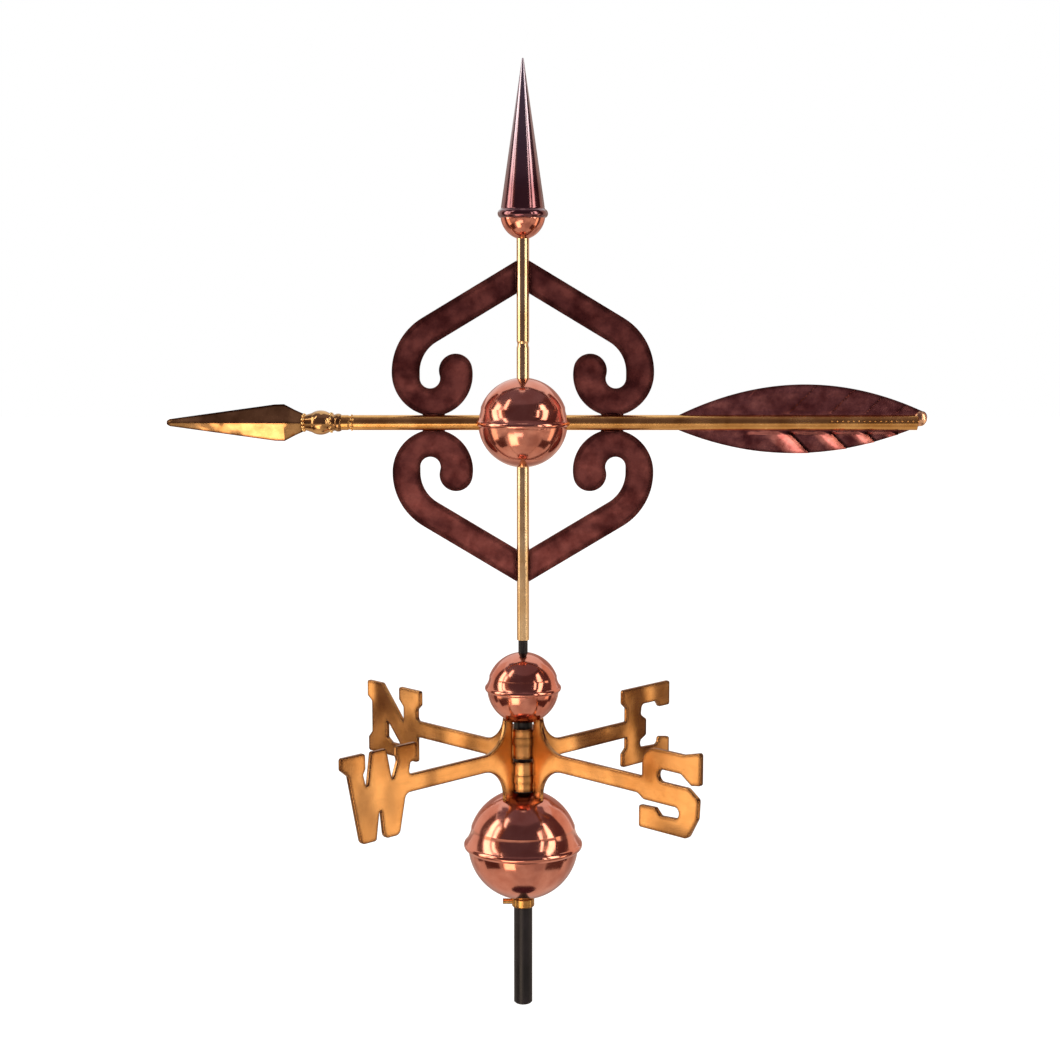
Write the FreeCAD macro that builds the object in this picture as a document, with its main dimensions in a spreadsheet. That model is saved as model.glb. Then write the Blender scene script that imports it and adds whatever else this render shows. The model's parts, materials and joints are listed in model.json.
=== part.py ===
import FreeCAD, Part
import math
import os
import Sketcher

# Weather vane: an arrow with four scrolls, globes and a spire that turns on a steel mast,
# above two interlocked castings that carry the compass letters.
# Millimetres, +Z up.  The origin is the centre of the mast's bottom end.
# The arrow points to -X and its feather to +X; the letters stand on the diagonals.

Vector = FreeCAD.Vector
doc = FreeCAD.newDocument("WeatherVane")

# ---------------------------------------------------------------- driving sizes
SIZES = [
    # mast and what is clamped on it
    ("mast_dia", 15.9, "steel mast, 5/8 in bar"),
    ("shoulder_rise", 52, "arms' centre line to where the mast steps down to the journal"),
    ("screw_groove_depth", 0.3, "groove round the mast that the collar's set screw bites in"),
    ("screw_groove_lead", 0.4, "that groove below the collar"),
    ("journal_dia", 7.94, "journal that the vane turns on, 5/16 in"),
    ("journal_rise", 49, "arrow's centre line to the journal's top"),
    ("foot_chamfer", 1.2, "chamfer at the mast's foot"),
    ("journal_chamfer", 0.6, "chamfer at the journal's top"),
    ("ball_seat_radius", 2.6, "mouth of the cone that holds the thrust ball"),
    ("thrust_ball_dia", 6.35, "hard ball under the vane, 1/4 in"),
    ("collar_dia", 19.4, "stop collar"),
    ("collar_height", 8, "stop collar"),
    ("collar_base", 86.6, "underside of the stop collar"),
    ("collar_chamfer", 0.7, "edges of the stop collar"),
    ("mast_fit", 0.08, "radial clearance of what slides on the mast"),
    ("seat_gap", 0.05, "gap left between faces that seat on each other"),
    ("screw_dia", 4.8, "set screws"),
    ("screw_socket", 2.4, "hexagon socket across flats"),
    ("screw_socket_depth", 2.0, "depth of the hexagon socket"),
    ("collar_screw_length", 9.8, "set screw of the stop collar"),
    ("hub_screw_length", 4.4, "set screws of the castings"),
    # spun globes
    ("sheet_gauge", 0.9, "spun copper sheet"),
    ("skirt_fit", 0.08, "radial clearance of the telescoped rims"),
    ("large_globe_rise", 55, "stop collar's underside to the large globe's centre"),
    ("large_globe_radius", 47.2, "outside of the large globe's sphere"),
    ("large_bead_radius", 50.8, "outside of its bead"),
    ("large_bead_half", 3.0, "half the height of its bead"),
    ("small_globe_rise", 58.4, "arms' centre line to the small globe's centre"),
    ("small_globe_radius", 30.5, "outside of the small globe's sphere"),
    ("small_bead_radius", 32.4, "outside of its bead"),
    ("small_bead_half", 2.2, "half the height of its bead"),
    ("centre_globe_radius", 37.4, "outside of the centre globe's sphere"),
    ("centre_bead_radius", 39.7, "outside of its bead"),
    ("centre_bead_half", 2.4, "half the height of its bead"),
    ("flare_angle", 20, "latitude where a globe starts to flare to its bead"),
    ("hole_fit", 0.25, "radial clearance of a globe's holes"),
    # directional castings
    ("arm_rise", 78.4, "large globe's centre to the arms' centre line"),
    ("arm_depth", 14.6, "height of an arm's section"),
    ("plate_thickness", 4.0, "castings' thickness"),
    ("web_half", 23, "half width of a casting's hub web"),
    ("web_rise", 34.3, "web above the arms' centre line"),
    ("web_fall", 38, "web below the arms' centre line"),
    ("web_fillet", 24, "fillet between web and arm"),
    ("edge_round", 0.9, "rounded edges of the castings"),
    ("barrel_radius", 12.2, "hub barrel"),
    ("barrel_band_radius", 13.0, "raised band round a barrel"),
    ("barrel_band_height", 6, "raised band round a barrel"),
    ("barrel_band_shift", 2.2, "band's centre from the barrel's middle, away from the other barrel"),
    ("barrel_length", 25.6, "hub barrel"),
    ("barrel_spacing", 3.0, "gap between the two barrels"),
    ("barrel_fall", 29.7, "arms' centre line to the underside of the lower barrel"),
    ("notch_radius", 14.6, "clearance cut for the other casting's barrel"),
    ("saddle_gap", 0.1, "gap between a casting and the globes it seats on"),
    # letters
    ("stem", 20.5, "letters' stem width"),
    ("slab", 14.5, "letters' slab serif height"),
    ("overhang", 6.0, "letters' serif overhang"),
    ("letter_corner", 2.2, "rounded corners of the letters"),
    ("letter_notch", 1.2, "rounded inner corners of the letters"),
    ("north_reach", 201.8, "axis to the outer side of the N"),
    ("north_width", 72.2, "width of the N"),
    ("north_height", 66, "height of the N"),
    ("north_drop", 31, "foot of the N below the arms' centre line"),
    ("south_reach", 198.6, "axis to the outer side of the S"),
    ("south_width", 64.5, "width of the S"),
    ("south_height", 72, "height of the S"),
    ("south_drop", 35, "foot of the S below the arms' centre line"),
    ("west_reach", 201.8, "axis to the outer side of the W"),
    ("west_width", 79.6, "width of the W"),
    ("west_height", 73.5, "height of the W"),
    ("west_drop", 40.5, "foot of the W below the arms' centre line"),
    ("east_reach", 187.7, "axis to the outer side of the E"),
    ("east_width", 63.2, "width of the E"),
    ("east_height", 70.5, "height of the E"),
    ("east_drop", 34, "foot of the E below the arms' centre line"),
    # turning tubes
    ("arrow_rise", 225.6, "small globe's centre to the arrow's centre line"),
    ("spindle_dia", 10.4, "upright tube of the vane"),
    ("running_fit", 0.08, "radial running clearance on the journal"),
    ("spindle_clear", 11.1, "top of the small globe to the lower end of the upright tube"),
    ("spindle_reach", 11.8, "upright tube above the joint of spire and cup"),
    ("crimp_rise", 16, "journal's top to the crimp that locks the bearing plug"),
    ("crimp_depth", 0.55, "depth of the rolled crimps"),
    ("crimp_half", 2.6, "half the width of a rolled crimp"),
    ("plug_length", 21.6, "bearing plug"),
    ("ball_lift", 0.04, "running gap above the thrust ball"),
    ("arrow_dia", 12.7, "arrow shaft, 1/2 in tube"),
    ("arrow_wall", 1.0, "wall of the arrow shaft"),
    ("shaft_front", 151.5, "axis to the shaft's end at the head"),
    ("shaft_back", 328.5, "axis to the shaft's end in the feather"),
    ("braze_gap", 0.05, "gap at the brazed joints"),
    # arrowhead
    ("head_tip", 297, "axis to the point"),
    ("tip_half", 1.5, "half height at the very point"),
    ("nose_length", 2.4, "length of the blunted point"),
    ("nose_half", 3.0, "half height behind the blunted point"),
    ("shoulder_front", 207, "axis to the front of the blade's shoulder"),
    ("shoulder_back", 199, "axis to the back of the blade's shoulder"),
    ("blade_half", 15.4, "half height of the blade at its shoulder"),
    ("blade_thick", 6.8, "half thickness of the blade at its ridge"),
    ("waist_place", 181.5, "axis to the blade's waist"),
    ("waist_radius", 6.8, "waist behind the blade"),
    ("knop_place", 168.7, "axis to the ferrule's knop"),
    ("knop_radius", 10.2, "ferrule's knop"),
    ("ring_radius", 7.6, "ring at the end of the ferrule"),
    ("ring_length", 5.0, "ring at the end of the ferrule"),
    ("spigot_length", 16, "spigot inside the shaft"),
    # feather
    ("feather_front", 130, "axis to the feather's front end"),
    ("feather_back", 337, "axis to the feather's tail end"),
    ("feather_rise", 31.8, "upper edge above the shaft's centre line"),
    ("feather_fall", 25.6, "lower edge below the shaft's centre line"),
    ("feather_tail_top", 9.5, "tail's upper corner"),
    ("feather_tail_low", 1.8, "tail's lower corner below the centre line"),
    ("feather_gauge", 1.0, "sheet of the feather"),
    ("pleat_depth_low", 1.2, "height of the pleats below the shaft"),
    ("pleat_depth_top", 0.35, "height of the waves above the shaft"),
    ("pleat_pitch", 38, "length of the first pleat"),
    ("pleat_closing", 0.0024, "how the pleats close up towards the tail, per mm"),
    ("pleat_place", 201, "axis to the root of the first pleat's ridge"),
    ("pleat_lead", 40, "length over which the pleats rise in front of that"),
    ("pleat_margin", 2.2, "flat strip of the sheet beside the shaft"),
    ("pleat_lean", 36, "lean of the pleats towards the tail, degrees"),
    # scrolls
    ("scroll_gauge", 3.2, "plate of the scrolls"),
    ("scroll_apex", 134, "outer apex above the arrow"),
    ("scroll_slope", 31, "fall of the straight limb, degrees"),
    ("limb_width", 23.2, "width of the straight limb"),
    ("scroll_reach", 109, "axis to the outer side"),
    ("belly_height", 42, "height of the widest place above the arrow"),
    ("heel_radius", 36, "outer radius of the curl"),
    ("curl_gap", 8.5, "radius of the slot inside the curl"),
    ("curl_slot_height", 37, "centre of that slot above the arrow"),
    ("curl_end_place", 55.9, "axis to the centre of the curl's round end"),
    ("curl_end_height", 43.5, "height of that centre above the arrow"),
    # spire
    ("spire_clear", 38.2, "scrolls' apex to the joint of spire and cup"),
    ("spire_length", 125.3, "joint of spire and cup to the tip"),
    ("spire_base_radius", 18.0, "foot of the cone"),
    ("spire_rim_radius", 20.8, "rolled rim of the spire"),
    ("spire_rim_half", 3.3, "half the height of the rolled rim"),
    ("spire_tip_radius", 0.8, "rounded tip"),
    ("cup_radius", 18.5, "outside of the cup"),
    ("cup_depth", 21, "joint to the cup's bottom"),
    ("spire_bush_length", 6, "bush between spindle tube and cup"),
    ("spire_bush_boss", 8.2, "radius of the bush's boss"),
]

sheet = doc.addObject("Spreadsheet::Sheet", "Sizes")
for row, (alias, value, note) in enumerate(SIZES, start=1):
    sheet.set(f"A{row}", str(value))
    sheet.set(f"B{row}", note)
    sheet.setAlias(f"A{row}", alias)
doc.recompute()


def size(expression):
    # value of an expression written in the sheet's aliases
    return float(sheet.evalExpression(expression))


# ---------------------------------------------------------------- sketches and bodies
def new_body(name):
    body = doc.addObject("PartDesign::Body", name)
    body.Label = name
    return body


def bound(expression):
    # the same expression, written so that another object can read it from the sheet
    words = sorted((alias for alias, value, note in SIZES if alias in expression), key=len, reverse=True)
    for place, word in enumerate(words):
        expression = expression.replace(word, f"<{place}>")
    for place, word in enumerate(words):
        expression = expression.replace(f"<{place}>", f"Sizes.{word}")
    return expression


def new_sketch(body, name, role, offset=None, turn=None):
    sketch = body.newObject("Sketcher::SketchObject", name)
    plane = next(feature for feature in body.Origin.OriginFeatures if feature.Role == role)
    sketch.AttachmentSupport = (plane, [""])
    sketch.MapMode = "FlatFace"
    if turn is not None:
        sketch.AttachmentOffset = FreeCAD.Placement(Vector(), FreeCAD.Rotation(Vector(0, 1, 0), turn))
    if offset is not None:
        sketch.setExpression("AttachmentOffset.Base.z", bound(offset))
    return sketch


def corners(sketch, places):
    # closed outline of straight edges whose corners are held by expressions
    points = [Vector(size(x), size(y), 0) for x, y in places]
    first = sketch.GeometryCount
    count = len(points)
    for i in range(count):
        sketch.addGeometry(Part.LineSegment(points[i], points[(i + 1) % count]))
    for i in range(count):
        after = first + (i + 1) % count
        sketch.addConstraint(Sketcher.Constraint("Coincident", first + i, 2, after, 1))
    for i in range(count):
        for kind, text, value in zip(("DistanceX", "DistanceY"), places[i], (points[i].x, points[i].y)):
            held = sketch.addConstraint(Sketcher.Constraint(kind, -1, 1, first + i, 1, value))
            sketch.setExpression(f"Constraints[{held}]", bound(text))


def circle(sketch, radius, x="0", y="0"):
    ring = sketch.addGeometry(Part.Circle(Vector(size(x), size(y), 0), Vector(0, 0, 1), size(radius)))
    held = sketch.addConstraint(Sketcher.Constraint("Radius", ring, size(radius)))
    sketch.setExpression(f"Constraints[{held}]", bound(radius))
    for kind, text in (("DistanceX", x), ("DistanceY", y)):
        held = sketch.addConstraint(Sketcher.Constraint(kind, -1, 1, ring, 3, size(text)))
        sketch.setExpression(f"Constraints[{held}]", bound(text))


def outline(sketch, start, *steps):
    # open or closed run of lines and arcs: a step is (end,) for a line, (through, end) for an arc
    here = Vector(*start, 0)
    for step in steps:
        end = Vector(*step[-1], 0)
        if len(step) == 1:
            sketch.addGeometry(Part.LineSegment(here, end))
        else:
            sketch.addGeometry(Part.Arc(here, Vector(*step[0], 0), end))
        here = end


def rounded(sketch, places):
    # closed outline of (x, y, corner radius)
    points = [Vector(x, y, 0) for x, y, radius in places]
    radii = [radius for x, y, radius in places]
    count = len(points)
    starts, ends, middles = [], [], []
    for i in range(count):
        before = (points[i - 1] - points[i])
        after = (points[(i + 1) % count] - points[i])
        angle = before.getAngle(after)
        before.normalize()
        after.normalize()
        reach = radii[i] / math.tan(angle / 2)
        centre_line = before + after
        centre_line.normalize()
        centre = points[i] + centre_line * (radii[i] / math.sin(angle / 2))
        starts.append(points[i] + before * reach)
        ends.append(points[i] + after * reach)
        middles.append(centre - centre_line * radii[i])
    for i in range(count):
        sketch.addGeometry(Part.Arc(starts[i], middles[i], ends[i]))
        sketch.addGeometry(Part.LineSegment(ends[i], starts[(i + 1) % count]))


def pad(body, sketch, name, length):
    feature = body.newObject("PartDesign::Pad", name)
    feature.Profile = (sketch, [""])
    feature.SideType = "Symmetric"
    feature.setExpression("Length", bound(length))
    return feature


def revolve(body, sketch, name, axis="V_Axis"):
    feature = body.newObject("PartDesign::Revolution", name)
    feature.Profile = (sketch, [""])
    feature.ReferenceAxis = (sketch, [axis])
    feature.Angle = 360
    return feature


def groove(body, sketch, name, axis="V_Axis"):
    feature = body.newObject("PartDesign::Groove", name)
    feature.Profile = (sketch, [""])
    feature.ReferenceAxis = (sketch, [axis])
    feature.Angle = 360
    return feature


def cut_through(body, sketch, name):
    feature = body.newObject("PartDesign::Pocket", name)
    feature.Profile = (sketch, [""])
    feature.SideType = "Symmetric"
    feature.Type = 1
    return feature


def cut_out(body, sketch, name, length):
    # pocket from the sketch's plane outwards, against the sketch's normal
    feature = body.newObject("PartDesign::Pocket", name)
    feature.Profile = (sketch, [""])
    feature.setExpression("Length", bound(length))
    return feature


def place(body, x="0", y="0", z="0", turn=(0, 0, 1, 0)):
    body.Placement = FreeCAD.Placement(Vector(size(x), size(y), size(z)),
                                       FreeCAD.Rotation(Vector(*turn[:3]), turn[3]))
    for axis, text in zip("xyz", (x, y, z)):
        if text != "0":
            body.setExpression(f"Placement.Base.{axis}", bound(text))


# ---------------------------------------------------------------- heights that follow each other
LARGE_GLOBE = "collar_base + large_globe_rise"
ARMS = LARGE_GLOBE + " + arm_rise"
SMALL_GLOBE = ARMS + " + small_globe_rise"
SHOULDER = ARMS + " + shoulder_rise"
ARROW = SMALL_GLOBE + " + arrow_rise"
JOURNAL_TOP = ARROW + " + journal_rise"
CRIMP = JOURNAL_TOP + " + crimp_rise"
SPINDLE_LOW = SMALL_GLOBE + " + small_globe_radius + spindle_clear"
SPIRE_RIM = ARROW + " + scroll_apex + spire_clear"
SPINDLE_TOP = SPIRE_RIM + " + spindle_reach"
# undersides of the two hub barrels, from the arms' centre line
LOW_BARREL = "-barrel_fall"
HIGH_BARREL = "barrel_length + barrel_spacing - barrel_fall"
HUB_SCREW_AZIMUTH = 90


# ---------------------------------------------------------------- mast
def make_mast_rod():
    body = new_body("mast_rod")
    sketch = new_sketch(body, "mast_profile", "XZ_Plane")
    corners(sketch, [
        ("0", "0"),
        ("mast_dia / 2 - foot_chamfer", "0"),
        ("mast_dia / 2", "foot_chamfer"),
        ("mast_dia / 2", "collar_base - screw_groove_lead"),
        ("mast_dia / 2 - screw_groove_depth", "collar_base - screw_groove_lead"),
        ("mast_dia / 2 - screw_groove_depth", "collar_base + collar_height / 2 + screw_dia * 0.6"),
        ("mast_dia / 2", "collar_base + collar_height / 2 + screw_dia * 0.6"),
        ("mast_dia / 2", SHOULDER),
        ("journal_dia / 2", SHOULDER),
        ("journal_dia / 2", f"{JOURNAL_TOP} - journal_chamfer"),
        ("journal_dia / 2 - journal_chamfer", JOURNAL_TOP),
        ("ball_seat_radius", JOURNAL_TOP),
        ("0", f"{JOURNAL_TOP} - ball_seat_radius"),
    ])
    revolve(body, sketch, "mast_turned")
    return body


# centre of the ball in its 90 degree cone
BALL_CENTRE = JOURNAL_TOP + " - ball_seat_radius + thrust_ball_dia / 2 * sqrt(2) + seat_gap / 2"


def make_thrust_ball():
    ball = doc.addObject("Part::Sphere", "thrust_ball")
    ball.Label = "thrust_ball"
    ball.setExpression("Radius", bound("thrust_ball_dia / 2"))
    place(ball, z=BALL_CENTRE)
    return ball


def make_stop_collar():
    body = new_body("stop_collar")
    sketch = new_sketch(body, "collar_profile", "XZ_Plane")
    bore = "mast_dia / 2 + mast_fit"
    corners(sketch, [
        (bore, "0"),
        ("collar_dia / 2 - collar_chamfer", "0"),
        ("collar_dia / 2", "collar_chamfer"),
        ("collar_dia / 2", "collar_height - collar_chamfer"),
        ("collar_dia / 2 - collar_chamfer", "collar_height"),
        (bore, "collar_height"),
    ])
    revolve(body, sketch, "collar_turned")
    hole = new_sketch(body, "collar_screw_hole", "YZ_Plane")
    circle(hole, "screw_dia / 2 + braze_gap", "0", "collar_height / 2")
    cut_out(body, hole, "collar_tapped", "collar_dia")
    place(body, z="collar_base")
    return body


def set_screw(length):
    # cup-ended set screw lying along +Z, its point at the origin
    reach = size("screw_dia / 2")
    bevel = reach / 4
    shank = Part.makeCylinder(reach, length - bevel, Vector(0, 0, bevel))
    point = Part.makeCone(reach - bevel, reach, bevel)
    flats = size("screw_socket")
    hexagon = [Vector(flats / math.sqrt(3) * math.cos(math.radians(60 * k)),
                      flats / math.sqrt(3) * math.sin(math.radians(60 * k)), length) for k in range(7)]
    socket = Part.Face(Part.makePolygon(hexagon)).extrude(Vector(0, 0, -size("screw_socket_depth")))
    return shank.fuse(point).removeSplitter().cut(socket)


def screw_feature(name, shapes):
    feature = doc.addObject("Part::Feature", name)
    feature.Label = name
    feature.Shape = shapes[0] if len(shapes) == 1 else Part.makeCompound(shapes)
    return feature


def radial_screw(length, azimuth, height, seat):
    # the screw's point presses on the mast at seat, its axis level and pointing outwards at azimuth
    screw = set_screw(length)
    screw.rotate(Vector(), Vector(0, 1, 0), 90)
    screw.translate(Vector(seat, 0, 0))
    screw.rotate(Vector(), Vector(0, 0, 1), azimuth)
    screw.translate(Vector(0, 0, height))
    return screw


def make_screws():
    in_groove = size("mast_dia / 2 - screw_groove_depth + seat_gap")
    collar = radial_screw(size("collar_screw_length"), 180, size("collar_base + collar_height / 2"), in_groove)
    on_mast = size("mast_dia / 2 + seat_gap")
    heights = [size(f"{ARMS} + {barrel} + barrel_length / 2") for barrel in (LOW_BARREL, HIGH_BARREL)]
    hubs = [radial_screw(size("hub_screw_length"), HUB_SCREW_AZIMUTH, z, on_mast) for z in heights]
    return [screw_feature("collar_set_screw", [collar]), screw_feature("hub_set_screws", hubs)]


# ---------------------------------------------------------------- spun globes
def globe_halves(prefix, radius, bead, bead_half, hole_low, hole_high, height, notch=None):
    # the upper shell flares to a bead and its skirt drops over the lower shell's rim
    outer = size(radius)
    inner = outer - size("sheet_gauge")
    lip = size(bead)
    half = size(bead_half)
    flare = math.radians(size("flare_angle"))
    skirt = outer + size("skirt_fit")
    rim = size("sheet_gauge")
    roll = half / 2

    def on_sphere(r, angle):
        return (r * math.cos(angle), r * math.sin(angle))

    def pole(r, hole):
        return (hole, math.sqrt(r * r - hole * hole))

    top_hole = size(hole_high)
    body = new_body(f"{prefix}_upper")
    sketch = new_sketch(body, "shell_profile", "XZ_Plane")
    flare_start = on_sphere(outer, flare)
    bead_top = (lip - roll, half)
    sag = ((flare_start[0] + bead_top[0]) / 2 - 0.06 * outer * math.sin(flare),
           (flare_start[1] + bead_top[1]) / 2 - 0.03 * outer * math.sin(flare))
    shoulder = rim / 2
    inner_low = (math.sqrt(inner * inner - shoulder * shoulder), shoulder)
    outline(sketch, pole(outer, top_hole),
            (on_sphere(outer, (flare + math.pi / 2) / 2), flare_start),
            (sag, bead_top),
            ((lip, 0), (lip - roll, -half)),
            ((skirt, -half),),
            ((skirt, shoulder),),
            (inner_low,),
            (on_sphere(inner, math.pi / 4), pole(inner, top_hole)),
            (pole(outer, top_hole),))
    revolve(body, sketch, "shell_spun")
    place(body, z=height)
    if notch:
        cut_notch(body, notch)

    bottom_hole = size(hole_low)
    lower = new_body(f"{prefix}_lower")
    sketch = new_sketch(lower, "shell_profile", "XZ_Plane")
    top = shoulder - size("seat_gap")
    rim_out = (math.sqrt(outer * outer - top * top), top)
    rim_in = (math.sqrt(inner * inner - top * top), top)

    def down(point):
        return (point[0], -point[1])

    outline(sketch, rim_out,
            (down(on_sphere(outer, math.pi / 5)), down(pole(outer, bottom_hole))),
            (down(pole(inner, bottom_hole)),),
            (down(on_sphere(inner, math.pi / 5)), rim_in),
            (rim_out,))
    revolve(lower, sketch, "shell_spun")
    place(lower, z=height)
    if notch:
        cut_notch(lower, notch)
    return [lower, body]


def cut_notch(body, radius):
    sketch = new_sketch(body, "shaft_notch", "YZ_Plane")
    circle(sketch, radius)
    cut_through(body, sketch, "shaft_passage")


def make_globes():
    on_mast = "mast_dia / 2 + hole_fit"
    on_journal = "journal_dia / 2 + hole_fit"
    on_spindle = "spindle_dia / 2 + hole_fit"
    large = globe_halves("large_globe", "large_globe_radius", "large_bead_radius", "large_bead_half",
                         on_mast, on_mast, LARGE_GLOBE)
    small = globe_halves("small_globe", "small_globe_radius", "small_bead_radius", "small_bead_half",
                         on_mast, on_journal, SMALL_GLOBE)
    centre = globe_halves("centre_globe", "centre_globe_radius", "centre_bead_radius",
                          "centre_bead_half", on_spindle, on_spindle, ARROW,
                          "arrow_dia / 2 + hole_fit")
    return large + small + centre


# ---------------------------------------------------------------- letters
# Each letter is drawn from its own lower left corner, in the width and height given, as
# (x, y, corner radius).  Its outline runs clockwise from where one edge of the arm meets it
# to where the other does; low and high are the heights of those edges.  After the outline
# come the letter's holes.
def letter_north(w, h, low, high):
    stem, slab, over = size("stem"), size("slab"), size("overhang")
    soft, tight = size("letter_corner"), size("letter_notch")
    left_in = over + stem
    right_out = w * 0.935
    right_in = right_out - stem * 0.87
    crotch = h * 0.505
    toe = right_out - stem * 0.85
    return [
        (right_out, low, 1.5 * soft), (right_out, 0, soft), (toe, 0, soft),
        (toe - over / 2, over, tight), (toe - over, 0, soft), (over / 6, 0, soft),
        (over / 6, slab - over / 4, soft), (over, slab + over * 0.7, 2 * tight),
        (over, h - slab - over * 0.7, 2 * tight), (0, h - slab, soft), (0, h, soft),
        (left_in - over, h, soft), (right_in, crotch, tight),
        (right_in, h - slab - over / 2, tight), (right_in - over, h - slab + over / 2, soft),
        (right_in - over, h, soft), (w, h, soft), (w, h - slab + over / 4, soft),
        (right_out, h - slab - over / 2, tight), (right_out, high, 1.5 * soft),
    ], [
        (left_in, crotch, tight), (left_in, slab + over / 3, tight),
        (left_in + over, slab - over / 3, tight), (right_in - over * 0.7, slab - over / 3, tight),
    ]


def letter_west(w, h, low, high):
    slab, over = size("slab"), size("overhang")
    soft, tight = size("letter_corner"), size("letter_notch")
    round_end = 2.3 * soft
    right_foot = w * 0.76
    right_side = w * 0.91
    elbow = h - slab - over * 0.2

    def on_right_side(height):
        return right_foot + (right_side - right_foot) * height / elbow

    return [
        (on_right_side(low), low, 2.5 * soft), (right_foot, 0, round_end), (w * 0.555, 0, round_end),
        (w * 0.505, h * 0.43, tight), (w * 0.450, 0, soft), (w * 0.25, 0, round_end),
        (over * 1.25, elbow, 2 * tight), (0, h - slab + over * 0.8, soft), (0, h, soft),
        (w * 0.311, h, soft), (w * 0.315, h * 0.83, soft), (w * 0.285, h * 0.77, tight),
        (w * 0.335, h * 0.57, tight),
        (w * 0.393, h, soft), (w * 0.589, h, soft), (w * 0.668, h * 0.61, tight),
        (w * 0.740, h * 0.83, soft), (w * 0.720, h * 0.90, soft), (w * 0.720, h, soft),
        (w, h, soft), (w * 0.99, h - slab, soft), (right_side, elbow, tight),
        (on_right_side(high), high, 1.5 * soft),
    ],


def letter_east(w, h, low, high):
    stem, slab, over = size("stem"), size("slab"), size("overhang")
    soft, tight = size("letter_corner"), size("letter_notch")
    side = over * 0.85
    right = side + stem
    middle = h * 0.46
    hook = w - over * 2.3
    hollow = 3.2 * tight
    return [
        (side, high, tight), (side, h - slab - over * 0.4, tight), (0, h - slab + over * 0.35, soft),
        (0, h, soft), (w, h, soft), (w, h - slab - over * 1.3, soft), (hook, h - slab - over * 1.3, soft),
        (hook - over * 0.7, h - slab - over * 0.3, hollow), (right, h - slab - over * 0.3, hollow),
        (right - over * 0.25, middle + slab / 2 + over * 0.9, 1.5 * soft), (right + over, middle + slab / 2, soft),
        (right + over, middle - slab / 2, soft), (right - over * 0.4, middle - slab / 2 - over * 0.7, 1.5 * soft),
        (right - over * 0.2, slab, hollow), (hook - over * 0.2, slab - over * 0.2, hollow),
        (hook, slab + over, soft), (w, slab + over * 0.6, soft), (w, 0, soft), (0, 0, soft),
        (0, slab - over * 0.4, soft), (side, slab + over * 0.4, tight), (side, low, tight),
    ],


def letter_south(w, h, low, high):
    slab, over = size("slab"), size("overhang")
    soft, tight = size("letter_corner"), size("letter_notch")
    side = over / 2
    brow = h - over * 0.75
    counter_top = h * 0.715
    counter_low = h * 0.575
    mouth_top = h * 0.325
    mouth_low = h * 0.255
    return [
        (side, high, soft), (side, brow, 6.5 * soft), (w * 0.72, brow, 2 * soft), (w, h, soft),
        (w, h * 0.63, soft), (w * 0.85, h * 0.61, soft), (w * 0.68, counter_top, 2 * soft),
        (w * 0.31, counter_top, 2.2 * soft), (w * 0.325, counter_low, 2.2 * soft),
        (w * 0.80, counter_low, 2 * soft), (w * 0.97, h * 0.47, 1.5 * soft), (w * 0.955, h * 0.25, 3 * soft),
        (w * 0.80, 0, 3 * soft), (0, 0, soft), (0, mouth_low, soft),
        (w * 0.27, mouth_low + over / 8, tight), (w * 0.36, slab * 0.92, 2 * tight),
        (w * 0.655, slab, 2 * soft), (w * 0.655, mouth_top, 2 * soft),
        (side + over / 4, mouth_top, 3 * soft), (-over / 4, low, 3 * soft),
    ],


# ---------------------------------------------------------------- directional castings
def along_arm(points, shift, foot):
    return [(x + shift, y + foot, radius) for x, y, radius in points]


def plate_outline(left_letter, right_letter):
    # hub web, arms and both letters as one clockwise outline, then the letters' holes
    low, high = size("-arm_depth / 2"), size("arm_depth / 2")
    half, fillet = size("web_half"), size("web_fillet")
    rise, fall = size("web_rise"), size("-web_fall")
    corner = size("letter_corner")
    sides, holes = [], []
    for (draw, name), side in ((left_letter, -1), (right_letter, 1)):
        width, foot = size(f"{name}_width"), -size(f"{name}_drop")
        reach = size(f"{name}_reach")
        shift = reach - width if side > 0 else -reach
        outer, *inner = draw(width, size(f"{name}_height"), low - foot, high - foot)
        sides.append(along_arm(outer, shift, foot))
        holes += [along_arm(hole, shift, foot) for hole in inner]
    left, right = sides
    web_right = [(half, rise, corner), (half, high, fillet)]
    web_below = [(half, low, fillet), (half, fall, corner), (-half, fall, corner), (-half, low, fillet)]
    web_left = [(-half, high, fillet), (-half, rise, corner)]
    return [web_right + right + web_below + left + web_left] + holes


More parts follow.
